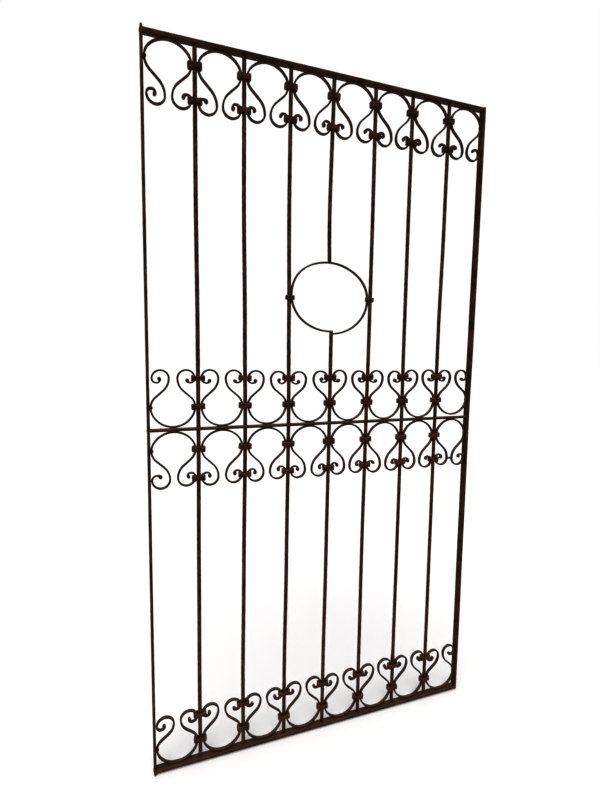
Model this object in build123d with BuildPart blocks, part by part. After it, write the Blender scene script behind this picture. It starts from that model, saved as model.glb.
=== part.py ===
from build123d import *
import os
from math import asin, atan2, degrees, hypot, sqrt

# A wrought iron gate leaf: two flat-bar stiles, three flat-bar rails, seven round
# bars with an oval ring let into the middle one, and four rows of omega scrolls
# held to the bars by forged collars.
# X runs along the rails from the hinge stile's centre line, Y runs from the front
# to the back with zero at the middle of the frame's depth, and Z runs up from the
# foot of the hinge stile. All sizes are in millimetres.

# Frame
bay_count = 8
bay_pitch = 136.0
leaf_height = 2075.0
frame_depth = 25.0
stile_thickness = 8.0
hinge_stile_stub = 7.0
latch_stile_stub = 1.5
stile_end_radius = 2.0
stub_share_rounded = 0.9
rail_height = 9.0
mid_rail_height = 8.0
mid_rail_depth = 20.0
mid_rail_rise = 1036.0

# Rail tenons, which pass through the stiles and are hammered over outside
tenon_depth = 12.0
tenon_height = 5.0
tenon_head_overlap = 1.6
tenon_head_thickness = 2.0

# Upright bars
bar_diameter = 12.0
bar_tenon_diameter = 8.0

# Oval ring in the middle bar
ring_rise = 1426.0
ring_height = 217.0
ring_tenon_diameter = 6.0
ring_bar_standing = 4.0
ring_end_trim = 10.0

# Scrolls, bent from flat strip on the flat. Rises are from the rail a row bears on.
strip_thickness = 5.5
strip_width = 10.0
top_neck_rise = 53.0
mid_upper_neck_rise = 60.0
mid_lower_neck_rise = 55.0
bottom_neck_rise = 58.0
curl_rise = 141.0
lobe_flattening = 8.5
shoulder_radius = 41.0
limb_ease = 0.97
limb_gap = 15.0
curl_inner_radius = 14.0
curl_end_radius = 9.0
curl_tip_diameter = 8.0
free_curl_gap = 4.0

# Collars and rivets
collar_height = 16.0
ring_collar_height = 13.5
collar_face = 4.5
collar_side = 8.0
ring_collar_side = 7.0
collar_corner_radius = 3.5
collar_clearance = 0.2
rivet_diameter = 5.0
rivet_head_diameter = 11.0
rivet_head_height = 3.5
rivet_dome_height_share = 0.72
rivet_dome_radius_share = 0.58
tie_diameter = 8.0

# Worked out from the sizes above
leaf_width = bay_count * bay_pitch
hinge_x = 0.0
latch_x = leaf_width
bottom_rail_low = hinge_stile_stub
bottom_rail_high = bottom_rail_low + rail_height
top_rail_high = bottom_rail_low + leaf_height
top_rail_low = top_rail_high - rail_height
mid_rail_centre = bottom_rail_low + mid_rail_rise
mid_rail_low = mid_rail_centre - mid_rail_height / 2
mid_rail_high = mid_rail_centre + mid_rail_height / 2
bar_radius = bar_diameter / 2
bar_indexes = range(1, bay_count)
ring_bar = bay_count // 2
bar_positions = [index * bay_pitch for index in bar_indexes]
ring_x = ring_bar * bay_pitch
ring_centre = bottom_rail_low + ring_rise
ring_top = ring_centre + ring_height / 2
ring_bottom = ring_centre - ring_height / 2
ring_half_width = bay_pitch - bar_radius

# Each row of scrolls: the face its crowns bear on, +1 where they rise from it or -1
# where they hang from it, how far its necks are from that face, and the gap of its
# end curls from the stiles
rows = {
    "top": (top_rail_low, -1, top_neck_rise, free_curl_gap),
    "mid_upper": (mid_rail_high, 1, mid_upper_neck_rise, free_curl_gap),
    "mid_lower": (mid_rail_low, -1, mid_lower_neck_rise, 0.0),
    "bottom": (bottom_rail_high, 1, bottom_neck_rise, 0.0),
}

os.makedirs("parts", exist_ok=True)


def write(piece, name):
    """Label one finished piece and write it as a STEP file."""
    piece.label = name
    export_step(piece, f"parts/{name}.step")


def bay_edges(bay):
    """The X of the surfaces on the left and right of a bay, which its scroll touches."""
    left = stile_thickness / 2 if bay == 1 else bar_radius
    right = stile_thickness / 2 if bay == bay_count else bar_radius
    return (bay - 1) * bay_pitch + left, bay * bay_pitch - right


# Stiles: flat bars on edge, mortised for the rail tenons and drilled for the
# rivets that hold the end scrolls
rivet_heights = [face + way * neck_rise for face, way, neck_rise, gap in rows.values()]
rail_centres = [
    bottom_rail_low + rail_height / 2,
    mid_rail_centre,
    top_rail_high - rail_height / 2,
]


def build_stile(name, centre_x, stub):
    low = bottom_rail_low - stub
    high = top_rail_high + stub
    with BuildPart() as stile:
        with BuildSketch(Plane.XY.offset(low)):
            with Locations((centre_x, 0)):
                Rectangle(stile_thickness, frame_depth)
        extrude(amount=high - low)
        ends = stile.edges().filter_by(Axis.Y)
        fillet(ends, radius=min(stile_end_radius, stub * stub_share_rounded))
        with BuildSketch(Plane.YZ.offset(centre_x - stile_thickness / 2)):
            with Locations([(0, height) for height in rail_centres]):
                Rectangle(tenon_depth, tenon_height)
            with Locations([(0, height) for height in rivet_heights]):
                Circle(rivet_diameter / 2)
        extrude(amount=stile_thickness, mode=Mode.SUBTRACT)
    write(stile.part, name)


build_stile("hinge_stile", hinge_x, hinge_stile_stub)
build_stile("latch_stile", latch_x, latch_stile_stub)


# Rails: flat bars on the flat, tenoned through both stiles and punched for the bars
def build_rail(name, centre_z, height, depth, hole_diameter):
    inner = stile_thickness / 2
    outer = tenon_head_thickness + inner
    with BuildPart() as rail:
        with BuildSketch(Plane.YZ.offset(hinge_x + inner)):
            with Locations((0, centre_z)):
                Rectangle(depth, height)
        extrude(amount=leaf_width - stile_thickness)
        with BuildSketch(Plane.YZ.offset(hinge_x - inner)):
            with Locations((0, centre_z)):
                Rectangle(tenon_depth, tenon_height)
        extrude(amount=leaf_width + stile_thickness)
        for head_plane in (hinge_x - outer, latch_x + inner):
            with BuildSketch(Plane.YZ.offset(head_plane)):
                with Locations((0, centre_z)):
                    RectangleRounded(
                        tenon_depth + 2 * tenon_head_overlap,
                        tenon_height + 2 * tenon_head_overlap,
                        tenon_head_overlap,
                    )
            extrude(amount=tenon_head_thickness)
        with BuildSketch(Plane.XY.offset(centre_z - height / 2)):
            with Locations([(x, 0) for x in bar_positions]):
                Circle(hole_diameter / 2)
        extrude(amount=height, mode=Mode.SUBTRACT)
    write(rail.part, name)


build_rail("bottom_rail", rail_centres[0], rail_height, frame_depth, bar_tenon_diameter)
build_rail("mid_rail", rail_centres[1], mid_rail_height, mid_rail_depth, bar_diameter)
build_rail("top_rail", rail_centres[2], rail_height, frame_depth, bar_tenon_diameter)


# Bars: round iron, each end turned down to a tenon that is let into its seat
def build_bar(name, x, low, high, low_tenon, high_tenon):
    with BuildPart() as bar:
        with BuildSketch(Plane.XY.offset(low)):
            with Locations((x, 0)):
                Circle(bar_radius)
        extrude(amount=high - low)
        for base, way, (diameter, length) in ((low, -1, low_tenon), (high, 1, high_tenon)):
            if length > 0:
                with BuildSketch(Plane.XY.offset(base)):
                    with Locations((x, 0)):
                        Circle(diameter / 2)
                extrude(amount=way * length)
    write(bar.part, name)


rail_tenon = (bar_tenon_diameter, rail_height)
ring_tenon = (ring_tenon_diameter, strip_thickness)
plain_end = (bar_diameter, 0.0)
for index, x in zip(bar_indexes, bar_positions):
    if index == ring_bar:
        build_bar(f"bar_{index}_upper", x, ring_top, top_rail_low, ring_tenon, rail_tenon)
        standing = ring_bottom + strip_thickness + ring_bar_standing
        build_bar(f"bar_{index}_lower", x, bottom_rail_high, standing, rail_tenon, plain_end)
    else:
        build_bar(f"bar_{index}", x, bottom_rail_high, top_rail_low, rail_tenon, rail_tenon)


# Ring: one strip bent to an oval that fills the two bays beside the middle bar. The
# upper bar is riveted into its top, and its ends meet on the lower bar's end.
with BuildPart() as ring:
    with BuildSketch(Plane.XZ):
        with Locations((ring_x, ring_centre)):
            Ellipse(ring_half_width, ring_height / 2)
            Ellipse(
                ring_half_width - strip_thickness,
                ring_height / 2 - strip_thickness,
                mode=Mode.SUBTRACT,
            )
        with Locations((ring_x, ring_bottom)):
            Rectangle(bar_diameter, 2 * ring_end_trim, mode=Mode.SUBTRACT)
    extrude(amount=strip_width / 2, both=True)
    with BuildSketch(Plane.XY.offset(ring_centre)):
        with Locations((ring_x, 0)):
            Circle(ring_tenon_diameter / 2)
    extrude(amount=ring_height, mode=Mode.SUBTRACT)
write(ring.part, "ring")


# Scrolls: each is one strip whose round lobe bears on a rail. Its sides touch the
# bars at the neck, its limbs turn inwards, and it ends in two curls that touch the
# bars again. Each limb is drawn from the crown outwards as tangent arcs, and a lobe
# taller than it is wide has straight sides. Where a limb climbs too little for its
# shoulder radius, the radius is eased so that a short straight still joins its arcs.
def draw_limb(side, reach, neck_rise, curl_inset):
    half = strip_thickness / 2
    lobe_reach = reach - half
    side_rise = min(neck_rise, reach) - half
    side_radius = side_rise - lobe_flattening
    offset_in = lobe_reach - side_radius
    crown_radius = (side_rise**2 + offset_in**2 - side_radius**2) / (2 * lobe_flattening)
    crown_turn = degrees(asin(offset_in / (crown_radius - side_radius)))
    curl_radius = (lobe_reach - curl_inset - limb_gap / 2 - half) / 2
    climb = curl_rise - neck_rise
    span = 2 * curl_radius + curl_inset
    both_radii = (climb**2 + span**2) / (2 * span)
    limb_radius = min(shoulder_radius, both_radii * limb_ease - curl_radius)
    across = limb_radius - curl_radius - curl_inset
    centres_apart = hypot(across, climb)
    lean = degrees(asin((limb_radius + curl_radius) / centres_apart))
    shoulder_turn = lean - degrees(atan2(across, climb))
    straight = sqrt(centres_apart**2 - (limb_radius + curl_radius) ** 2)
    crown = JernArc((0, half), (side, 0), crown_radius, side * crown_turn)
    lobe = JernArc(crown @ 1, crown % 1, side_radius, side * (90 - crown_turn))
    neck = (side * lobe_reach, neck_rise)
    if neck_rise > reach:
        Line(lobe @ 1, neck)
    shoulder = JernArc(neck, (0, 1), limb_radius, side * shoulder_turn)
    limb = Line(shoulder @ 1, shoulder @ 1 + straight * (shoulder % 1))
    curl = JernArc(limb @ 1, shoulder % 1, curl_radius, -side * (180 + shoulder_turn))
    inner = JernArc(curl @ 1, curl % 1, curl_inner_radius, -side * 90)
    end = JernArc(inner @ 1, inner % 1, curl_end_radius, -side * 90)
    return end @ 1


def build_scroll(name, bay, face, way, neck_rise, end_gap):
    left, right = bay_edges(bay)
    reach = (right - left) / 2
    row_plane = Plane(origin=((left + right) / 2, 0, face), x_dir=(way, 0, 0), z_dir=(0, -1, 0))
    right_inset = end_gap if bay == (bay_count if way == 1 else 1) else 0.0
    left_inset = end_gap if bay == (1 if way == 1 else bay_count) else 0.0
    rivet_planes = [left] if bay == 1 else []
    if bay == bay_count:
        rivet_planes.append(right - 2 * strip_thickness)
    with BuildPart() as scroll:
        with BuildSketch(row_plane):
            with BuildLine():
                right_tip = draw_limb(1, reach, neck_rise, right_inset)
                left_tip = draw_limb(-1, reach, neck_rise, left_inset)
            trace(line_width=strip_thickness)
            with Locations((right_tip.X, right_tip.Y), (left_tip.X, left_tip.Y)):
                Circle(curl_tip_diameter / 2)
        extrude(amount=strip_width / 2, both=True)
        for plane_x in rivet_planes:
            with BuildSketch(Plane.YZ.offset(plane_x)):
                with Locations((0, face + way * neck_rise)):
                    Circle(rivet_diameter / 2)
            extrude(amount=2 * strip_thickness, mode=Mode.SUBTRACT)
    write(scroll.part, name)


for row, (face, way, neck_rise, end_gap) in rows.items():
    for bay in range(1, bay_count + 1):
        build_scroll(f"{row}_scroll_{bay}", bay, face, way, neck_rise, end_gap)


# Collars: short thick bands closed hot round a bar and the strips beside it. Each
# row of like collars is one group of separate solids.
def sagitta(radius, half_chord):
    return radius - sqrt(radius**2 - half_chord**2)


def build_collars(name, places, height, inside, outside):
    with BuildPart() as collars:
        for x, z in places:
            with BuildSketch(Plane.XY.offset(z - height / 2)):
                with Locations((x, 0)):
                    RectangleRounded(outside, collar_depth, collar_corner_radius)
                    Rectangle(inside, collar_inside_depth, mode=Mode.SUBTRACT)
            extrude(amount=height)
    write(collars.part, name)


collar_inside_depth = max(bar_diameter, strip_width)
collar_depth = collar_inside_depth + 2 * collar_face
pack_width = bar_diameter + 2 * strip_thickness
collar_outside = pack_width + 2 * collar_side
neck_spread = sagitta(shoulder_radius - strip_thickness / 2, collar_height / 2)
curl_spread = sagitta(curl_inner_radius - strip_thickness / 2, collar_height / 2)
for row, (face, way, neck_rise, end_gap) in rows.items():
    for kind, rise, spread in (
        ("neck", neck_rise, neck_spread),
        ("curl", curl_rise, curl_spread),
    ):
        places = [(x, face + way * rise) for x in bar_positions]
        inside = pack_width + 2 * (spread + collar_clearance)
        build_collars(f"{row}_{kind}_collars", places, collar_height, inside, collar_outside)

ring_side_radius = (ring_height / 2) ** 2 / ring_half_width
ring_spread = sagitta(ring_side_radius, ring_collar_height / 2) + collar_clearance
ring_pack = bar_diameter + strip_thickness
with BuildPart() as ring_collars:
    for side in (-1, 1):
        bar_x = ring_x + side * bay_pitch
        pack_x = bar_x - side * (strip_thickness + ring_spread) / 2
        with BuildSketch(Plane.XY.offset(ring_centre - ring_collar_height / 2)):
            with Locations((pack_x, 0)):
                RectangleRounded(
                    ring_pack + ring_spread + 2 * ring_collar_side,
                    collar_depth,
                    collar_corner_radius,
                )
                Rectangle(ring_pack + ring_spread, collar_inside_depth, mode=Mode.SUBTRACT)
        extrude(amount=ring_collar_height)
write(ring_collars.part, "ring_collars")


# Stile rivets: each holds an end scroll's neck to its stile, with a domed head in
# the bay and the other end hammered flush in the stile's outer face
tightest_lobe = top_neck_rise - lobe_flattening - strip_thickness
rivet_seat = sagitta(tightest_lobe, rivet_head_diameter / 2)
rivet_length = stile_thickness + strip_thickness + rivet_seat
with BuildPart() as stile_rivets:
    for stile_x, way_in in ((hinge_x, 1), (latch_x, -1)):
        start = stile_x - way_in * stile_thickness / 2
        head = start + way_in * rivet_length
        for height in rivet_heights:
            with BuildSketch(Plane.XZ):
                with BuildLine():
                    Polyline(
                        (head, height + rivet_diameter / 2),
                        (start, height + rivet_diameter / 2),
                        (start, height),
                        (head + way_in * rivet_head_height, height),
                    )
                    ThreePointArc(
                        (head + way_in * rivet_head_height, height),
                        (
                            head + way_in * rivet_head_height * rivet_dome_height_share,
                            height + rivet_head_diameter / 2 * rivet_dome_radius_share,
                        ),
                        (head, height + rivet_head_diameter / 2),
                    )
                    Line(
                        (head, height + rivet_head_diameter / 2),
                        (head, height + rivet_diameter / 2),
                    )
                make_face()
            revolve(axis=Axis((0, 0, height), (1, 0, 0)))
write(stile_rivets.part, "stile_rivets")


# Scroll tie: a short rod welded between the limbs of the last scroll under the mid rail
tie_left, tie_right = bay_edges(bay_count)
with BuildPart() as scroll_tie:
    tie_length = limb_gap
    with BuildSketch(Plane.YZ.offset((tie_left + tie_right - tie_length) / 2)):
        with Locations((0, mid_rail_low - curl_rise)):
            Circle(tie_diameter / 2)
    extrude(amount=tie_length)
write(scroll_tie.part, "scroll_tie")
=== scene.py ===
import math
import random

import bpy
from mathutils import Matrix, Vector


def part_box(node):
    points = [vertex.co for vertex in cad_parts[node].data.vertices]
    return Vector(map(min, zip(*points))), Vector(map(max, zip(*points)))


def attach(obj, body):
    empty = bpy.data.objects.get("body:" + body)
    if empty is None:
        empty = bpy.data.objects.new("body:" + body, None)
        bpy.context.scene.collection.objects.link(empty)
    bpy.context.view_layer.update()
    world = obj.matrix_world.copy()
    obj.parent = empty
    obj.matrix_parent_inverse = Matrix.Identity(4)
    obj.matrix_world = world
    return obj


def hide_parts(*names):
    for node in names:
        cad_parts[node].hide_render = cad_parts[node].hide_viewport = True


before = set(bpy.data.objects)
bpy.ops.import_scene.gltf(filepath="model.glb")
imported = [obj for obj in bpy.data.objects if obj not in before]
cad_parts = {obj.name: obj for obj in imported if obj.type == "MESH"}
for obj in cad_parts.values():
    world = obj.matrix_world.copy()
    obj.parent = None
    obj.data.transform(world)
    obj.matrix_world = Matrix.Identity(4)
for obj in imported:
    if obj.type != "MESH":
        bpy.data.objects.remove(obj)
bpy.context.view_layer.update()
scene = bpy.context.scene


# Studio: a pale floor under the gate's foot, a white surround and one very broad soft lamp
# overhead, so that upward faces read lighter than the fronts. The camera stands by the hinge
# stile at chest height, and a print-like contrast keeps the iron dark against the white.
eye = (-0.0725, -1.3773, 1.2756)
eye_turn = math.radians(-20.72)
eye_tilt = math.radians(90 - 6.09)
eye_roll = math.radians(0.82)

camera = bpy.data.objects.new("camera", bpy.data.cameras.new("camera"))
camera.data.lens = 21.56
camera.data.clip_start = 0.05
turned = Matrix.Rotation(eye_turn, 4, "Z") @ Matrix.Rotation(eye_tilt, 4, "X")
camera.matrix_world = Matrix.Translation(eye) @ turned @ Matrix.Rotation(eye_roll, 4, "Z")
scene.collection.objects.link(camera)
scene.camera = camera
scene.view_settings.view_transform = "Standard"
scene.view_settings.gamma = 0.7


def linear(hex_colour):
    """Turn an sRGB hex colour into the linear colour that shaders take."""
    channels = [int(hex_colour[start:start + 2], 16) / 255 for start in (1, 3, 5)]
    lifted = [c / 12.92 if c <= 0.04045 else ((c + 0.055) / 1.055) ** 2.4 for c in channels]
    return (*lifted, 1.0)


def add_node(tree, kind, inputs=None, **settings):
    """Add one node, set its properties, and set or link its inputs."""
    node = tree.nodes.new(kind)
    for name, value in settings.items():
        setattr(node, name, value)
    for key, value in (inputs or {}).items():
        if isinstance(value, bpy.types.NodeSocket):
            tree.links.new(value, node.inputs[key])
        else:
            node.inputs[key].default_value = value
    return node


# The surround shows white, and lights the iron more dimly than it shows.
surround_lights = 0.5
surround_shows = 1.0
world = bpy.data.worlds.new("white surround")
world.use_nodes = True
sky = world.node_tree
seen = add_node(sky, "ShaderNodeLightPath").outputs["Is Camera Ray"]
strength = add_node(sky, "ShaderNodeMapRange", {
    "Value": seen, "To Min": surround_lights, "To Max": surround_shows,
})
sky.nodes["Background"].inputs["Color"].default_value = linear("#ffffff")
sky.links.new(strength.outputs["Result"], sky.nodes["Background"].inputs["Strength"])
scene.world = world

ceiling = bpy.data.lights.new("ceiling lamp", "SUN")
ceiling.energy = 2.6
ceiling.angle = math.radians(50)
lamp = bpy.data.objects.new("ceiling lamp", ceiling)
lamp.rotation_euler = (math.radians(28), math.radians(-16), 0)
scene.collection.objects.link(lamp)


# Matt white-painted board: an even pale ground that only shows the contact shadow.
board_paint = bpy.data.materials.new("matt white painted board")
board_paint.use_nodes = True
board_shader = board_paint.node_tree.nodes["Principled BSDF"]
board_shader.inputs["Base Color"].default_value = linear("#f6f5f4")
board_shader.inputs["Roughness"].default_value = 0.9

floor_reach = 30.0  # metres each way, past the horizon of every view
floor_mesh = bpy.data.meshes.new("floor")
corners = [(-floor_reach, -floor_reach, 0), (floor_reach, -floor_reach, 0)]
corners += [(floor_reach, floor_reach, 0), (-floor_reach, floor_reach, 0)]
floor_mesh.from_pydata(corners, [], [(0, 1, 2, 3)])
floor_mesh.materials.append(board_paint)
floor = bpy.data.objects.new("floor", floor_mesh)
scene.collection.objects.link(floor)


# Stiles: two hot-rolled flat bars stood on edge, dressed by hammer. The hinge stile's
# ends stand past the rails and are blunted; the latch stile ends almost flush.
MM = 0.001


def forged_iron(name, deep, brown, rust, worn_and_top_lit, patch_mm, rust_share, roughness):
    """Wrought iron, hot forged and left bare: mill scale browned by years of rust.

    The eye sees a near-black brown with warmer patches, fine rusty specks, worn edges and
    redder rust towards the ground. Upward faces, more so higher up, are painted lighter and
    greyer with the worn colour: painted top light. The specks and pits are a few times
    coarser than real ones, so that they show.
    """
    speck_mm = 5.0
    pit_mm = 2.4
    pit_deep_mm = 0.5
    iron = bpy.data.materials.new(name)
    iron.use_nodes = True
    tree = iron.node_tree
    shader = tree.nodes["Principled BSDF"]
    place = add_node(tree, "ShaderNodeTexCoord").outputs["Object"]
    patches = add_node(tree, "ShaderNodeTexNoise", {
        "Vector": place, "Scale": 1 / (patch_mm * MM), "Detail": 5.0, "Roughness": 0.62,
    })
    patch_mask = add_node(tree, "ShaderNodeMapRange", {
        "Value": patches.outputs["Fac"], "From Min": 0.42, "From Max": 0.62,
    })
    specks = add_node(tree, "ShaderNodeTexNoise", {
        "Vector": place, "Scale": 1 / (speck_mm * MM), "Detail": 3.0, "Roughness": 0.7,
    })
    height = add_node(tree, "ShaderNodeSeparateXYZ", {"Vector": place})
    ground_pull = add_node(tree, "ShaderNodeMapRange", {
        "Value": height.outputs["Z"], "From Min": 1.5, "From Max": 0.1,
        "To Min": 0.0, "To Max": 0.09,
    })
    speck_level = add_node(tree, "ShaderNodeMath", {
        0: specks.outputs["Fac"], 1: ground_pull.outputs["Result"],
    }, operation="ADD")
    speck_mask = add_node(tree, "ShaderNodeMapRange", {
        "Value": speck_level.outputs["Value"],
        "From Min": 0.66 - rust_share, "From Max": 0.78 - rust_share,
    })
    facing = add_node(tree, "ShaderNodeNewGeometry")
    upward = add_node(tree, "ShaderNodeSeparateXYZ", {"Vector": facing.outputs["Normal"]})
    # Painted top light: faces that look up, more so higher on the leaf, take the pale worn
    # colour, as light from above would lighten them.
    painted_top_light_share = add_node(tree, "ShaderNodeMapRange", {
        "Value": height.outputs["Z"], "From Min": 0.1, "From Max": 0.9,
        "To Min": 0.3, "To Max": 0.7,
    })
    painted_top_light_mask = add_node(tree, "ShaderNodeMapRange", {
        "Value": upward.outputs["Z"], "From Min": 0.2, "From Max": 0.95,
        "To Min": 0.0, "To Max": painted_top_light_share.outputs["Result"],
    })
    edge_mask = add_node(tree, "ShaderNodeMapRange", {
        "Value": facing.outputs["Pointiness"], "From Min": 0.53, "From Max": 0.62,
        "To Min": 0.0, "To Max": 0.45,
    })
    base = add_node(tree, "ShaderNodeMix", {
        "Factor": patch_mask.outputs["Result"], 6: linear(deep), 7: linear(brown),
    }, data_type="RGBA")
    rusted = add_node(tree, "ShaderNodeMix", {
        "Factor": speck_mask.outputs["Result"], 6: base.outputs[2], 7: linear(rust),
    }, data_type="RGBA")
    edged = add_node(tree, "ShaderNodeMix", {
        "Factor": edge_mask.outputs["Result"], 6: rusted.outputs[2], 7: linear(worn_and_top_lit),
    }, data_type="RGBA")
    # Painted top light, mixed over the real edge wear.
    top_lit_colour = add_node(tree, "ShaderNodeMix", {
        "Factor": painted_top_light_mask.outputs["Result"], 6: edged.outputs[2], 7: linear(worn_and_top_lit),
    }, data_type="RGBA")
    sheen_range = add_node(tree, "ShaderNodeMapRange", {
        "Value": patches.outputs["Fac"], "From Min": 0.35, "From Max": 0.65,
        "To Min": roughness - 0.1, "To Max": roughness + 0.12,
    })
    pits = add_node(tree, "ShaderNodeTexNoise", {
        "Vector": place, "Scale": 1 / (pit_mm * MM), "Detail": 4.0, "Roughness": 0.65,
    })
    pitting = add_node(tree, "ShaderNodeBump", {
        "Strength": 0.55, "Distance": pit_deep_mm * MM, "Height": pits.outputs["Fac"],
    })
    tree.links.new(top_lit_colour.outputs[2], shader.inputs["Base Color"])
    tree.links.new(sheen_range.outputs["Result"], shader.inputs["Roughness"])
    tree.links.new(pitting.outputs["Normal"], shader.inputs["Normal"])
    shader.inputs["Metallic"].default_value = 0.3
    shader.inputs["Specular IOR Level"].default_value = 0.12
    return iron


# The fourth colour is the worn edges and also the painted top light on upward faces.
flat_bar_iron = forged_iron(
    "hot-rolled wrought iron flat bar, rusted mill scale",
    "#291a13", "#4a3024", "#71402a", "#6f6256", 46.0, 0.03, 0.66,
)

# Geometry tree that dresses a surface with shallow hammer marks.
hammered = bpy.data.node_groups.new("hammer marks", "GeometryNodeTree")
for label, kind in (
    ("Geometry", "NodeSocketGeometry"),
    ("Mark Depth", "NodeSocketFloat"),
    ("Mark Size", "NodeSocketFloat"),
):
    hammered.interface.new_socket(label, in_out="INPUT", socket_type=kind)
hammered.interface.new_socket("Geometry", in_out="OUTPUT", socket_type="NodeSocketGeometry")
given = add_node(hammered, "NodeGroupInput").outputs
mark_scale = add_node(hammered, "ShaderNodeMath", {
    0: 1.0, 1: given["Mark Size"],
}, operation="DIVIDE")
marks = add_node(hammered, "ShaderNodeTexNoise", {
    "Vector": add_node(hammered, "GeometryNodeInputPosition").outputs["Position"],
    "Scale": mark_scale.outputs["Value"], "Detail": 1.5, "Roughness": 0.5,
})
signed = add_node(hammered, "ShaderNodeMapRange", {
    "Value": marks.outputs["Fac"], "From Min": 0.25, "From Max": 0.75,
    "To Min": -1.0, "To Max": 1.0,
})
mark_depth = add_node(hammered, "ShaderNodeMath", {
    0: signed.outputs["Result"], 1: given["Mark Depth"],
}, operation="MULTIPLY")
push = add_node(hammered, "ShaderNodeVectorMath", {
    0: add_node(hammered, "GeometryNodeInputNormal").outputs["Normal"],
    "Scale": mark_depth.outputs["Value"],
}, operation="SCALE")
marked = add_node(hammered, "GeometryNodeSetPosition", {
    "Geometry": given["Geometry"], "Offset": push.outputs["Vector"],
})
add_node(hammered, "NodeGroupOutput", {"Geometry": marked.outputs["Geometry"]})

# Geometry tree that draws a bar of rounded section along a path. The path lies in the
# ground plane and Turn stands it up. The path's radius thickens the bar, and Keep Width
# says how much of that is left out across the path: 1 for strip, 0 for round iron.
forging = bpy.data.node_groups.new("forged bar along a path", "GeometryNodeTree")
for label, kind in (
    ("Path", "NodeSocketGeometry"),
    ("Thickness", "NodeSocketFloat"),
    ("Width", "NodeSocketFloat"),
    ("Corner", "NodeSocketFloat"),
    ("Facet", "NodeSocketFloat"),
    ("Keep Width", "NodeSocketFloat"),
    ("Turn", "NodeSocketVector"),
    ("Mark Depth", "NodeSocketFloat"),
    ("Mark Size", "NodeSocketFloat"),
    ("Iron", "NodeSocketMaterial"),
):
    forging.interface.new_socket(label, in_out="INPUT", socket_type=kind)
forging.interface.new_socket("Bar", in_out="OUTPUT", socket_type="NodeSocketGeometry")
given = add_node(forging, "NodeGroupInput").outputs
section = add_node(forging, "GeometryNodeCurvePrimitiveQuadrilateral", {
    "Width": given["Thickness"], "Height": given["Width"],
})
rounded = add_node(forging, "GeometryNodeFilletCurve", {
    "Curve": section.outputs["Curve"], "Count": 5, "Radius": given["Corner"],
    "Limit Radius": True,
}, mode="POLY")
outline = add_node(forging, "GeometryNodeResampleCurve", {
    "Curve": rounded.outputs["Curve"], "Length": given["Facet"],
}, mode="LENGTH")
girth = add_node(forging, "GeometryNodeInputRadius").outputs["Radius"]
kept = add_node(forging, "GeometryNodeCaptureAttribute")
kept.capture_items.new("FLOAT", "Girth")
forging.links.new(given["Path"], kept.inputs[0])
forging.links.new(girth, kept.inputs[1])
swept = add_node(forging, "GeometryNodeCurveToMesh", {
    "Curve": kept.outputs[0], "Profile Curve": outline.outputs["Curve"],
    "Scale": girth, "Fill Caps": True,
})
held_back = add_node(forging, "ShaderNodeMath", {
    0: kept.outputs[1], 1: given["Keep Width"],
}, operation="POWER")
spot = add_node(forging, "GeometryNodeInputPosition").outputs["Position"]
parts = add_node(forging, "ShaderNodeSeparateXYZ", {"Vector": spot})
across = add_node(forging, "ShaderNodeMath", {
    0: parts.outputs["Z"], 1: held_back.outputs["Value"],
}, operation="DIVIDE")
respread = add_node(forging, "ShaderNodeCombineXYZ", {
    "X": parts.outputs["X"], "Y": parts.outputs["Y"], "Z": across.outputs["Value"],
})
shaped = add_node(forging, "GeometryNodeSetPosition", {
    "Geometry": swept.outputs["Mesh"], "Position": respread.outputs["Vector"],
})
stood = add_node(forging, "GeometryNodeTransform", {
    "Geometry": shaped.outputs["Geometry"], "Rotation": given["Turn"],
})
dressed = add_node(forging, "GeometryNodeGroup", node_tree=hammered)
forging.links.new(stood.outputs["Geometry"], dressed.inputs["Geometry"])
forging.links.new(given["Mark Depth"], dressed.inputs["Mark Depth"])
forging.links.new(given["Mark Size"], dressed.inputs["Mark Size"])
smooth = add_node(forging, "GeometryNodeSetShadeSmooth", {"Geometry": dressed.outputs[0]})
realized = add_node(forging, "GeometryNodeRealizeInstances", {"Geometry": smooth.outputs[0]})
coated = add_node(forging, "GeometryNodeSetMaterial", {
    "Geometry": realized.outputs[0], "Material": given["Iron"],
})
add_node(forging, "NodeGroupOutput", {"Bar": coated.outputs[0]})

STAND_UP = (math.pi / 2, 0, 0)


def draw_path(name, runs):
    """Make a curve in the ground plane from runs of (x, y, girth)."""
    data = bpy.data.curves.new(name, "CURVE")
    data.dimensions = "3D"
    for run in runs:
        spline = data.splines.new("POLY")
        spline.points.add(len(run) - 1)
        for point, (x, y, scale) in zip(spline.points, run):
            point.co = (x, y, 0, 1)
            point.radius = scale
    return data


def grow(name, data, tree, values):
    """Run a geometry tree once on some data and keep the result as a plain mesh."""
    carrier = bpy.data.objects.new(name + "_pattern", data)
    scene.collection.objects.link(carrier)
    modifier = carrier.modifiers.new("grow", "NODES")
    modifier.node_group = tree
    for item in tree.interface.items_tree:
        if item.in_out == "INPUT" and item.name in values:
            modifier[item.identifier] = values[item.name]
    carrier.update_tag()
    shape = carrier.evaluated_get(bpy.context.evaluated_depsgraph_get())
    mesh = bpy.data.meshes.new_from_object(shape)
    mesh.name = name
    carrier.modifiers.remove(modifier)
    bpy.data.objects.remove(carrier)
    piece = bpy.data.objects.new(name, mesh)
    scene.collection.objects.link(piece)
    return piece


def fit(piece, slot, *nodes):
    """Fix a piece to the leaf, in place of its plain nodes if it has any."""
    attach(piece, "root")
    if nodes:
        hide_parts(*nodes)


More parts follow.
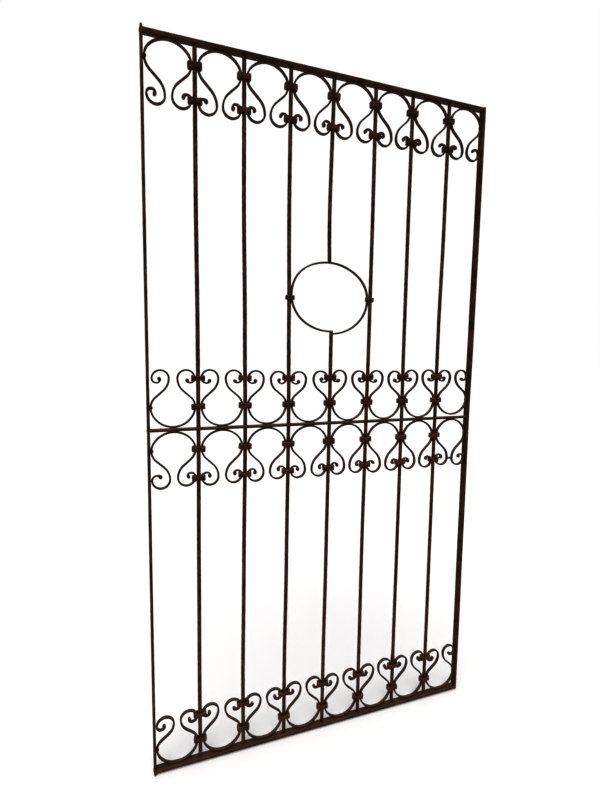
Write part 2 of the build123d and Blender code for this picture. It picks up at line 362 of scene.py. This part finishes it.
# No upright stands quite true. Each height lists how far the nine of them, the stiles
# included, lean towards the latch side there, in millimetres.
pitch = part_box("bar_2")[0][0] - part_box("bar_1")[0][0]
top_of_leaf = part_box("top_rail")[0][2]
leans = {
    0.0: (0, -0.8, -1.0, -0.5, 0, -0.6, 0, 0.6, 0),
    0.25: (-0.8, -1.6, -2.5, -0.9, 0.5, -1.2, -0.2, 1.1, -0.2),
    0.6: (-0.9, -0.6, 0, 2.0, 3.0, -1.6, 0, -0.2, -2.0),
    1.043: (-0.4, 1.3, 3.2, 3.8, 5.0, 0.5, -0.5, -2.0, -3.6),
    1.33: (-0.5, 1.0, 1.5, 1.5, 5.0, 2.6, -2.0, -3.0, -1.2),
    1.7: (-0.6, -1.0, -1.9, -1.8, -4.4, 3.4, -2.2, 1.0, 0),
    top_of_leaf: (0, -0.8, -2.0, -0.6, -1.2, 2.8, -0.8, 1.6, 0),
}


def lean(x, z):
    """How far the ironwork leans sideways at a place on the leaf."""
    heights = sorted(leans)
    z = min(max(z, heights[0]), heights[-1])
    above = next(index for index, height in enumerate(heights) if z <= height)
    upper = heights[above]
    lower = heights[max(above - 1, 0)]
    share = (z - lower) / (upper - lower) if upper > lower else 1.0
    eased = share * share * (3 - 2 * share)
    last_bay = len(leans[upper]) - 2
    column = min(max(x / pitch, 0.0), last_bay + 0.999)
    left = int(column)
    level = []
    for height in (lower, upper):
        near, far = leans[height][left:left + 2]
        level.append(near + (far - near) * (column - left))
    return (level[0] + (level[1] - level[0]) * eased) * MM


def swell(station, girths):
    """How thick a bar is at a station, against its plain self. Each girth (place, reach,
    extra) fattens it there, or thins it."""
    scale = 1.0
    for centre, reach, extra in girths:
        scale += extra * math.exp(-(((station - centre) / reach) ** 2))
    return scale


def straight_run(start, end, step, girths=(), sag=0.0):
    """Points along a bar, leaning as the leaf does. The sag drops its middle."""
    length = math.dist(start, end)
    along = [(there - here) / length for here, there in zip(start, end)]
    count = max(2, round(length / step))
    run = []
    for index in range(count + 1):
        station = length * index / count
        x = start[0] + along[0] * station
        y = start[1] + along[1] * station - sag * math.sin(math.pi * station / length) ** 2
        run.append((x + lean(x, y) * abs(along[1]), y, swell(station, girths)))
    return run


# Hammer marks stand this far proud, so the plain bars inside them are that much less.
thick_room = 0.2 * MM
wide_room = 0.5 * MM
stile_ends_in = 0.3 * MM
blunted_reach = 3 * MM
for node, end_loss in (("hinge_stile", -0.3), ("latch_stile", -0.12)):
    low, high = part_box(node)
    centre_x = (low[0] + high[0]) / 2
    start, end = low[2] + stile_ends_in, high[2] - stile_ends_in
    path = straight_run(
        (centre_x, start), (centre_x, end), 3 * MM,
        girths=[(0.0, blunted_reach, end_loss), (end - start, blunted_reach, end_loss)],
    )
    stile = grow("forged_" + node, draw_path(node, [path]), forging, {
        "Thickness": high[0] - low[0] - thick_room, "Width": high[1] - low[1] - wide_room,
        "Corner": 1.6 * MM, "Facet": 1.5 * MM, "Keep Width": 1.0, "Turn": STAND_UP,
        "Mark Depth": 0.22 * MM, "Mark Size": 14 * MM, "Iron": flat_bar_iron,
    })
    fit(stile, "frame_flat_bar", node)


# Rails: three flat bars laid on the flat between the stiles. Each end is a tenon that
# passes through the stile and is hammered over outside into a low domed head.
peening = bpy.data.node_groups.new("peened heads", "GeometryNodeTree")
for label, kind in (
    ("Places", "NodeSocketGeometry"),
    ("Size", "NodeSocketVector"),
    ("Size Spread", "NodeSocketFloat"),
    ("Seed", "NodeSocketInt"),
    ("Mark Depth", "NodeSocketFloat"),
    ("Mark Size", "NodeSocketFloat"),
    ("Iron", "NodeSocketMaterial"),
):
    peening.interface.new_socket(label, in_out="INPUT", socket_type=kind)
peening.interface.new_socket("Heads", in_out="OUTPUT", socket_type="NodeSocketGeometry")
given = add_node(peening, "NodeGroupInput").outputs
ball = add_node(peening, "GeometryNodeMeshUVSphere", {
    "Segments": 24, "Rings": 16, "Radius": 1.0,
})
smallest = add_node(peening, "ShaderNodeMath", {
    0: 1.0, 1: given["Size Spread"],
}, operation="SUBTRACT")
spread = add_node(peening, "FunctionNodeRandomValue", {
    2: smallest.outputs["Value"], 3: 1.0, "Seed": given["Seed"],
}, data_type="FLOAT")
head_size = add_node(peening, "ShaderNodeVectorMath", {
    0: given["Size"], "Scale": spread.outputs[1],
}, operation="SCALE")
heads = add_node(peening, "GeometryNodeInstanceOnPoints", {
    "Points": given["Places"], "Instance": ball.outputs["Mesh"],
    "Scale": head_size.outputs["Vector"],
})
solid_heads = add_node(peening, "GeometryNodeRealizeInstances", {"Geometry": heads.outputs[0]})
dressed = add_node(peening, "GeometryNodeGroup", node_tree=hammered)
peening.links.new(solid_heads.outputs[0], dressed.inputs["Geometry"])
peening.links.new(given["Mark Depth"], dressed.inputs["Mark Depth"])
peening.links.new(given["Mark Size"], dressed.inputs["Mark Size"])
smooth = add_node(peening, "GeometryNodeSetShadeSmooth", {"Geometry": dressed.outputs[0]})
coated = add_node(peening, "GeometryNodeSetMaterial", {
    "Geometry": smooth.outputs[0], "Material": given["Iron"],
})
add_node(peening, "NodeGroupOutput", {"Heads": coated.outputs[0]})


def place_points(name, places):
    """Make loose points, one at each place."""
    data = bpy.data.meshes.new(name)
    data.from_pydata(places, [], [])
    return data


stile_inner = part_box("hinge_stile")[1][0]
stile_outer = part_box("hinge_stile")[0][0]
latch_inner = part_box("latch_stile")[0][0]
latch_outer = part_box("latch_stile")[1][0]
# Each rail's thickness, and how far its middle sags, in millimetres.
rail_forms = {"bottom_rail": (9.0, 0.5), "mid_rail": (8.0, 0.35), "top_rail": (9.0, -0.4)}
rail_faces = {}
into_stile = 1.0 * MM
for node, (rail_mm, sag_mm) in rail_forms.items():
    low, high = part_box(node)
    rail_z = (low[2] + high[2]) / 2
    rail_faces[node] = (rail_z - rail_mm / 2 * MM, rail_z + rail_mm / 2 * MM)
    rail_start = stile_inner + lean(0, rail_z) - into_stile
    rail_end = latch_inner + lean(latch_inner, rail_z) + into_stile
    path = straight_run((rail_start, rail_z), (rail_end, rail_z), 4 * MM, sag=sag_mm * MM)
    rail = grow("forged_" + node, draw_path(node, [path]), forging, {
        "Thickness": rail_mm * MM - thick_room, "Width": high[1] - low[1] - wide_room,
        "Corner": 1.4 * MM, "Facet": 1.5 * MM, "Keep Width": 1.0, "Turn": STAND_UP,
        "Mark Depth": 0.2 * MM, "Mark Size": 15 * MM, "Iron": flat_bar_iron,
    })
    fit(rail, "frame_flat_bar", node)
    outer_ends = [stile_outer + lean(0, rail_z), latch_outer + lean(latch_outer, rail_z)]
    ends = place_points(node, [(x, 0, rail_z) for x in outer_ends])
    heads = grow(node + "_tenon_heads", ends, peening, {
        "Size": (1.4 * MM, 7.6 * MM, 4.4 * MM), "Size Spread": 0.08, "Seed": len(node),
        "Mark Depth": 0.2 * MM, "Mark Size": 4 * MM, "Iron": flat_bar_iron,
    })
    fit(heads, "frame_flat_bar")


# Bars: 12 mm round iron, straightened by eye, so each bows a few millimetres between its
# collars, with tenons in the rails. A lap weld stands out as a swelling low on the sixth.
# The fourth colour is the worn edges and also the painted top light on upward faces.
bar_iron = forged_iron(
    "round wrought iron bar, hammered and rusted",
    "#2b1b13", "#4d3225", "#743f28", "#6c5d50", 32.0, 0.04, 0.62,
)
bar_thick = 12.0 * MM
into_rail = 1.2 * MM
weld_swelling = (158 * MM, 22 * MM, 0.36)
foot = rail_faces["bottom_rail"][1]
crown_line = rail_faces["top_rail"][0]


def round_bar(node, start, end, girths=()):
    """Forge one length of round bar between two places (x, z)."""
    path = straight_run(start, end, 3.5 * MM, girths)
    bar = grow("forged_" + node, draw_path(node, [path]), forging, {
        "Thickness": bar_thick, "Width": bar_thick, "Corner": bar_thick / 2 - 0.05 * MM,
        "Facet": 1.9 * MM, "Keep Width": 0.0, "Turn": STAND_UP,
        "Mark Depth": 0.35 * MM, "Mark Size": 10 * MM, "Iron": bar_iron,
    })
    fit(bar, "round_bar", node)


for node in ("bar_1", "bar_2", "bar_3", "bar_5", "bar_6", "bar_7"):
    low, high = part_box(node)
    x = (low[0] + high[0]) / 2
    girths = [weld_swelling] if node == "bar_6" else []
    round_bar(node, (x, foot - into_rail), (x, crown_line + into_rail), girths)

ring_low, ring_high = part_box("ring")
ring_x = (ring_low[0] + ring_high[0]) / 2
lower_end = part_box("bar_4_lower")[1][2]
# The upper length of bar 4 meets the ring this far towards the hinge stile.
upper_aside = 5.5 * MM
upper_start = ring_high[2] - 1.5 * MM
upper_x = ring_x - upper_aside - lean(ring_x, upper_start)
round_bar("bar_4_upper", (upper_x, upper_start), (ring_x, crown_line + into_rail))
round_bar(
    "bar_4_lower", (ring_x, foot - into_rail), (ring_x, lower_end),
    [(lower_end - foot + into_rail, 2.5 * MM, -0.12)],
)


# Ring: one strip bent by eye to an oval between the third and fifth bars. Its ends meet
# on the lower bar a few millimetres apart in height.
# The fourth colour is the worn edges and also the painted top light on upward faces.
strip_iron = forged_iron(
    "bent wrought iron strip, worn brown scale",
    "#281a13", "#463026", "#6d402b", "#746658", 24.0, 0.02, 0.64,
)
strip_thick = 5.5 * MM
strip_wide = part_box("top_scroll_1")[1][1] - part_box("top_scroll_1")[0][1]
ring_reach = (ring_high[0] - ring_low[0] - strip_thick) / 2
ring_rise = (ring_high[2] - ring_low[2] - strip_thick) / 2
ring_z = (ring_low[2] + ring_high[2]) / 2

# Where the oval strays from a true one: the share of the way from its left end over the
# top to its right end, how wide the dent or bulge is there, and how far out it goes.
ring_strays = [(0.0, 0.1, -0.03), (0.37, 0.09, 0.05), (0.59, 0.07, -0.02), (1.0, 0.12, 0.034)]
# Its ends follow the lower bar, which leans towards the latch stile there.
end_pulls = [(0.0, 0.2, 3.5 * MM), (1.0, 0.2, 3.5 * MM)]
ring_points = []
ring_steps = 240
first_end, sweep = -93, -354  # degrees
for index in range(ring_steps + 1):
    share = index / ring_steps
    angle = math.radians(first_end + sweep * share)
    out = swell(share, ring_strays)
    x = ring_x + ring_reach * out * math.cos(angle) + swell(share, end_pulls) - 1.0
    z = ring_z + ring_rise * out * math.sin(angle)
    ring_points.append((x, z, 1.0))
ring = grow("forged_ring", draw_path("ring", [ring_points]), forging, {
    "Thickness": strip_thick, "Width": strip_wide - wide_room, "Corner": 1.3 * MM,
    "Facet": 1.2 * MM, "Keep Width": 1.0, "Turn": STAND_UP,
    "Mark Depth": 0.22 * MM, "Mark Size": 9 * MM, "Iron": strip_iron,
})
fit(ring, "bent_strip", "ring")


# Scrolls: thirty-two omegas, each one strip bent over a peg. The lobe bears on its rail,
# the necks lie against the bars, and each limb turns back in a curl with a beaten knob at
# its tip. No two are quite alike, because they were bent by hand.
def walk(place, heading, pieces, step):
    """Points along arcs and straights, each (length or turn, radius), as (x, y, station)."""
    points = [(place[0], place[1], 0.0)]
    x, y = place
    station = 0.0
    for turn, radius in pieces:
        length = abs(turn) * radius if radius else turn
        count = max(1, round(length / step))
        for _ in range(count):
            half_turn = (turn / count) / 2 if radius else 0.0
            heading += half_turn
            x += length / count * math.cos(heading)
            y += length / count * math.sin(heading)
            heading += half_turn
            station += length / count
            points.append((x, y, station))
    return points


def limb(reach, neck_rise, curl_rise, curl_inset, gap, crown_lift, inner_radius, hook, fat):
    """One half of a scroll, from its crown to its tip, for a crown at the origin.

    The lobe is a flat crown arc and a tighter side arc. Past the neck the limb swings out
    and back in an S, then turns in a half circle, a quarter and the hook at its tip.
    """
    flattening = 8.5 * MM
    ease = 0.92  # of the radii that would leave no straight in the S
    shoulder_share = 0.45
    lead = 2.0 * MM
    hook_share = 0.57
    knob = (5.0 * MM, 5.2 * MM, fat)
    blunt_tip = (0.0, 1.5 * MM, -0.75)
    drawn_down = (22 * MM, 14 * MM, -0.1)
    half = strip_thick / 2
    lobe_reach = reach - half
    side_rise = min(neck_rise, reach) - half - crown_lift
    side_radius = side_rise - flattening
    offset_in = lobe_reach - side_radius
    crown_radius = (side_rise**2 + offset_in**2 - side_radius**2) / (2 * flattening)
    crown_turn = math.asin(min(1.0, offset_in / (crown_radius - side_radius)))
    curl_radius = (lobe_reach - curl_inset - gap / 2 - half) / 2
    span = 2 * curl_radius + curl_inset
    climb = curl_rise - neck_rise
    reach_sum = ease * (climb**2 + span**2) / (2 * span)
    shoulder_radius = shoulder_share * reach_sum
    belly_radius = reach_sum - shoulder_radius
    sideways = reach_sum - span
    apart = math.hypot(sideways, climb)
    turn = math.asin(reach_sum / apart) - math.atan2(sideways, climb)
    straight = math.sqrt(apart**2 - reach_sum**2)
    pieces = [
        (crown_turn, crown_radius),
        (math.pi / 2 - crown_turn, side_radius),
        (turn, shoulder_radius),
        (straight, 0.0),
        (-turn, belly_radius),
        (-math.pi, curl_radius),
        (-math.pi / 2, inner_radius),
        (lead, 0.0),
        (-hook, inner_radius * hook_share),
    ]
    points = walk((0.0, half + crown_lift), 0.0, pieces, 2.4 * MM)
    tip = points[-1][2]
    tip_girths = [knob, blunt_tip, drawn_down]
    return [(x, y, swell(tip - station, tip_girths)) for x, y, station in points]


# Each row stands on its rail (way 1) or hangs from it (way -1). In millimetres: the neck's
# distance from the rail, the gap between the limbs, how far the end curls stand off the
# stiles, and, bay by bay, how much longer or shorter than the rest each limb was bent.
rows = {
    "top": {
        "way": -1, "neck": 53, "gap": 13, "stand_off": 4.0,
        "left": (2, 4, 0, -2, 0, 0, 0, -2), "right": (0, 2, 0, -1, -1, -2, -1, -3),
    },
    "mid_upper": {
        "way": 1, "neck": 60, "gap": 17.5, "stand_off": 4.0,
        "left": (1, 0, -3, -6, -2, -4, -3, -3), "right": (0, -1, -5, -4, -4, -5, -2, -2),
    },
    "mid_lower": {
        "way": -1, "neck": 55, "gap": 15.5, "stand_off": 0.6,
        "left": (-2, -1, -1, 0, -1, 2, 1, -3), "right": (-5, -2, -3, 0, -1, 2, 1, 1),
    },
    "bottom": {
        "way": 1, "neck": 58, "gap": 15, "stand_off": 0.6,
        "left": (-9, -1, -4, 2, -2, 1, 2, -5), "right": (-6, -4, -3, 3, 0, 6, 4, -1),
    },
}
# Lobes that were bent short of their rail, in millimetres: the rivets and collars hold them.
crown_lifts = {"mid_upper_scroll_1": 1.5, "mid_upper_scroll_8": 6.0}
curl_line = 141 * MM
side_room = 0.1 * MM
bay_count = 8
bender = random.Random(11)
for row, form in rows.items():
    way = form["way"]
    for bay in range(1, bay_count + 1):
        node = f"{row}_scroll_{bay}"
        low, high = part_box(node)
        centre_x = (low[0] + high[0]) / 2
        crown_face = low[2] if way == 1 else high[2]
        halves = []
        for side, bends, stile_bay in ((-1, form["left"], 1), (1, form["right"], bay_count)):
            at_stile = bay == stile_bay
            inset_mm = form["stand_off"] if at_stile else bender.uniform(0.0, 0.8)
            half_limb = limb(
                reach=(high[0] - low[0]) / 2 - side_room,
                neck_rise=form["neck"] * MM,
                curl_rise=curl_line + bends[bay - 1] * MM,
                curl_inset=inset_mm * MM,
                gap=(form["gap"] + bender.uniform(-2.0, 2.0)) * MM,
                crown_lift=crown_lifts.get(node, 0.0) * MM,
                inner_radius=bender.uniform(11.5, 13.5) * MM,
                hook=math.radians(bender.uniform(105, 170)),
                fat=bender.uniform(0.8, 1.15),
            )
            bent = []
            for x, y, girth in half_limb:
                place_x, place_z = centre_x + side * x, crown_face + way * y
                bent.append((place_x + lean(place_x, place_z), place_z, girth))
            halves.append(bent)
        path = halves[0][::-1] + halves[1][1:]
        scroll = grow("forged_" + node, draw_path(node, [path]), forging, {
            "Thickness": strip_thick, "Width": strip_wide - wide_room,
            "Corner": 1.3 * MM, "Facet": 1.3 * MM, "Keep Width": 1.0, "Turn": STAND_UP,
            "Mark Depth": 0.25 * MM, "Mark Size": 8 * MM, "Iron": strip_iron,
        })
        fit(scroll, "bent_strip", node)


# Collars: short bands of thick strip closed red-hot round a bar and the two strips beside
# it. They shrink tight as they cool, and the hammer leaves fat ends behind.
# The fourth colour is the worn edges and also the painted top light on upward faces.
collar_iron = forged_iron(
    "forged wrought iron collars, hammered rust brown",
    "#2b1a12", "#503326", "#78432a", "#6c5c4e", 18.0, 0.05, 0.6,
)
collaring = bpy.data.node_groups.new("row of collars", "GeometryNodeTree")
for label, kind in (
    ("Places", "NodeSocketGeometry"),
    ("Length", "NodeSocketFloat"),
    ("Depth", "NodeSocketFloat"),
    ("Thickness", "NodeSocketFloat"),
    ("Height", "NodeSocketFloat"),
    ("Fat Ends", "NodeSocketFloat"),
    ("Tilt", "NodeSocketVector"),
    ("Size Spread", "NodeSocketFloat"),
    ("Seed", "NodeSocketInt"),
    ("Mark Depth", "NodeSocketFloat"),
    ("Mark Size", "NodeSocketFloat"),
    ("Iron", "NodeSocketMaterial"),
):
    collaring.interface.new_socket(label, in_out="INPUT", socket_type=kind)
collaring.interface.new_socket("Collars", in_out="OUTPUT", socket_type="NodeSocketGeometry")
given = add_node(collaring, "NodeGroupInput").outputs
plan = add_node(collaring, "GeometryNodeCurvePrimitiveQuadrilateral", {
    "Width": given["Length"], "Height": given["Depth"],
})
plan_corner = add_node(collaring, "ShaderNodeMath", {
    0: given["Depth"], 1: 0.36,
}, operation="MULTIPLY")
eased = add_node(collaring, "GeometryNodeFilletCurve", {
    "Curve": plan.outputs["Curve"], "Count": 6, "Radius": plan_corner.outputs["Value"],
    "Limit Radius": True,
}, mode="POLY")
loop = add_node(collaring, "GeometryNodeResampleCurve", {
    "Curve": eased.outputs["Curve"], "Count": 76,
}, mode="COUNT")
loop_place = add_node(collaring, "ShaderNodeSeparateXYZ", {
    "Vector": add_node(collaring, "GeometryNodeInputPosition").outputs["Position"],
})
from_middle = add_node(collaring, "ShaderNodeMath", {
    0: loop_place.outputs["X"],
}, operation="ABSOLUTE")
half_length = add_node(collaring, "ShaderNodeMath", {
    0: given["Length"], 1: 0.5,
}, operation="MULTIPLY")
towards_end = add_node(collaring, "ShaderNodeMath", {
    0: from_middle.outputs["Value"], 1: half_length.outputs["Value"],
}, operation="DIVIDE")
end_share = add_node(collaring, "ShaderNodeMapRange", {
    "Value": towards_end.outputs["Value"], "From Min": 0.5, "From Max": 1.0,
    "To Min": 0.0, "To Max": 1.0,
}, interpolation_type="SMOOTHSTEP")
fatter = add_node(collaring, "ShaderNodeMath", {
    0: end_share.outputs["Result"], 1: given["Fat Ends"], 2: 1.0,
}, operation="MULTIPLY_ADD")
fat_loop = add_node(collaring, "GeometryNodeSetCurveRadius", {
    "Curve": loop.outputs["Curve"], "Radius": fatter.outputs["Value"],
})
band = add_node(collaring, "GeometryNodeGroup", node_tree=forging)
for label, source in (
    ("Path", fat_loop.outputs["Curve"]),
    ("Thickness", given["Thickness"]),
    ("Width", given["Height"]),
):
    collaring.links.new(source, band.inputs[label])
band.inputs["Corner"].default_value = 2.0 * MM
band.inputs["Facet"].default_value = 1.1 * MM
band.inputs["Keep Width"].default_value = 0.55
band.inputs["Mark Depth"].default_value = 0.0
band.inputs["Mark Size"].default_value = 5.0 * MM
least_tilt = add_node(collaring, "ShaderNodeVectorMath", {
    0: given["Tilt"], "Scale": -1.0,
}, operation="SCALE")
tilt = add_node(collaring, "FunctionNodeRandomValue", {
    0: least_tilt.outputs["Vector"], 1: given["Tilt"], "Seed": given["Seed"],
}, data_type="FLOAT_VECTOR")
least_size = add_node(collaring, "ShaderNodeMath", {
    0: 1.0, 1: given["Size Spread"],
}, operation="SUBTRACT")
size = add_node(collaring, "FunctionNodeRandomValue", {
    2: least_size.outputs["Value"], 3: 1.0, "Seed": given["Seed"],
}, data_type="FLOAT")
only_height = add_node(collaring, "ShaderNodeCombineXYZ", {
    "X": 1.0, "Y": 1.0, "Z": size.outputs[1],
})
closed = add_node(collaring, "GeometryNodeInstanceOnPoints", {
    "Points": given["Places"], "Instance": band.outputs["Bar"],
    "Rotation": tilt.outputs[0], "Scale": only_height.outputs["Vector"],
})
joined = add_node(collaring, "GeometryNodeRealizeInstances", {"Geometry": closed.outputs[0]})
dressed = add_node(collaring, "GeometryNodeGroup", node_tree=hammered)
collaring.links.new(joined.outputs[0], dressed.inputs["Geometry"])
collaring.links.new(given["Mark Depth"], dressed.inputs["Mark Depth"])
collaring.links.new(given["Mark Size"], dressed.inputs["Mark Size"])
coated = add_node(collaring, "GeometryNodeSetMaterial", {
    "Geometry": dressed.outputs[0], "Material": given["Iron"],
})
add_node(collaring, "NodeGroupOutput", {"Collars": coated.outputs[0]})

band_thick = 4.2 * MM
end_fat = 1.0
pinch = 0.3 * MM
bar_half = bar_thick / 2
collar_size = {
    "Depth": 2 * bar_half + band_thick, "Thickness": band_thick, "Height": 14.0 * MM,
    "Fat Ends": end_fat, "Tilt": (0.03, 0.07, 0.02), "Size Spread": 0.12,
    "Mark Depth": 0.45 * MM, "Mark Size": 6 * MM, "Iron": collar_iron,
}
pack_half = bar_half + strip_thick
half_wide = pack_half + band_thick * (1 + end_fat) / 2 - pinch
for row_index, row in enumerate(rows):
    for kind_index, kind in enumerate(("neck", "curl")):
        node = f"{row}_{kind}_collars"
        low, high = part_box(node)
        seat_z = (low[2] + high[2]) / 2
        bar_places = [bar * pitch for bar in range(1, bay_count)]
        seats = [(x + lean(x, seat_z), 0, seat_z) for x in bar_places]
        collars = grow("forged_" + node, place_points(node, seats), collaring, {
            **collar_size, "Length": 2 * half_wide, "Seed": 10 * row_index + kind_index,
        })
        fit(collars, "forged_collars", node)

ring_pack_half = bar_half + strip_thick / 2
left_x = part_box("bar_3")[1][0] - bar_half + strip_thick / 2
right_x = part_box("bar_5")[0][0] + bar_half - strip_thick / 2
left_rise, right_rise = -5 * MM, 1 * MM
ring_seats = [
    (left_x + lean(left_x, ring_z), 0, ring_z + left_rise),
    (right_x + lean(right_x, ring_z), 0, ring_z + right_rise),
]
ring_collars = grow("forged_ring_collars", place_points("ring_collars", ring_seats), collaring, {
    **collar_size, "Length": 2 * ring_pack_half + band_thick, "Height": 13.0 * MM,
    "Fat Ends": 0.35, "Seed": 91,
})
fit(ring_collars, "forged_collars", "ring_collars")


# Stile rivets: they draw the end scrolls' necks against the stiles, with a domed head in
# the bay and a low hammered end outside.
rivet_heads = []
rivet_ends = []
for row, form in rows.items():
    low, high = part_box(f"{row}_scroll_1")
    crown_face = low[2] if form["way"] == 1 else high[2]
    rivet_z = crown_face + form["way"] * form["neck"] * MM
    left_lean, right_lean = lean(0, rivet_z), lean(latch_inner, rivet_z)
    rivet_heads.append((stile_inner + strip_thick + left_lean, 0, rivet_z))
    rivet_heads.append((latch_inner - strip_thick + right_lean, 0, rivet_z))
    rivet_ends.append((stile_outer + left_lean, 0, rivet_z))
    rivet_ends.append((latch_outer + right_lean, 0, rivet_z))
domes = grow("stile_rivet_heads", place_points("rivet_heads", rivet_heads), peening, {
    "Size": (3.4 * MM, 4.6 * MM, 5.4 * MM), "Size Spread": 0.12, "Seed": 5,
    "Mark Depth": 0.25 * MM, "Mark Size": 4 * MM, "Iron": collar_iron,
})
fit(domes, "forged_collars", "stile_rivets")
ends = grow("stile_rivet_ends", place_points("rivet_ends", rivet_ends), peening, {
    "Size": (0.7 * MM, 3.4 * MM, 3.4 * MM), "Size Spread": 0.12, "Seed": 6,
    "Mark Depth": 0.1 * MM, "Mark Size": 4 * MM, "Iron": collar_iron,
})
fit(ends, "forged_collars")


# Scroll tie: a stub of rod welded between the limbs of the last scroll under the middle
# rail, an old repair, with a fillet of weld at each end.
low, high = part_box("scroll_tie")
tie_z = (low[2] + high[2]) / 2
tie_lean = lean((low[0] + high[0]) / 2, tie_z)
into_limb = 3.0 * MM
tie_start = low[0] + tie_lean - into_limb
tie_end = high[0] + tie_lean + into_limb
weld_reach, weld_fat = 5 * MM, 0.45
tie_path = straight_run(
    (tie_start, tie_z), (tie_end, tie_z), 0.8 * MM,
    girths=[(0.0, weld_reach, weld_fat), (tie_end - tie_start, weld_reach, weld_fat)],
)
tie = grow("forged_scroll_tie", draw_path("scroll_tie", [tie_path]), forging, {
    "Thickness": 7.0 * MM, "Width": 7.0 * MM, "Corner": 3.4 * MM, "Facet": 1.2 * MM,
    "Keep Width": 0.3, "Turn": STAND_UP, "Mark Depth": 0.35 * MM, "Mark Size": 4 * MM,
    "Iron": collar_iron,
})
fit(tie, "forged_collars", "scroll_tie")
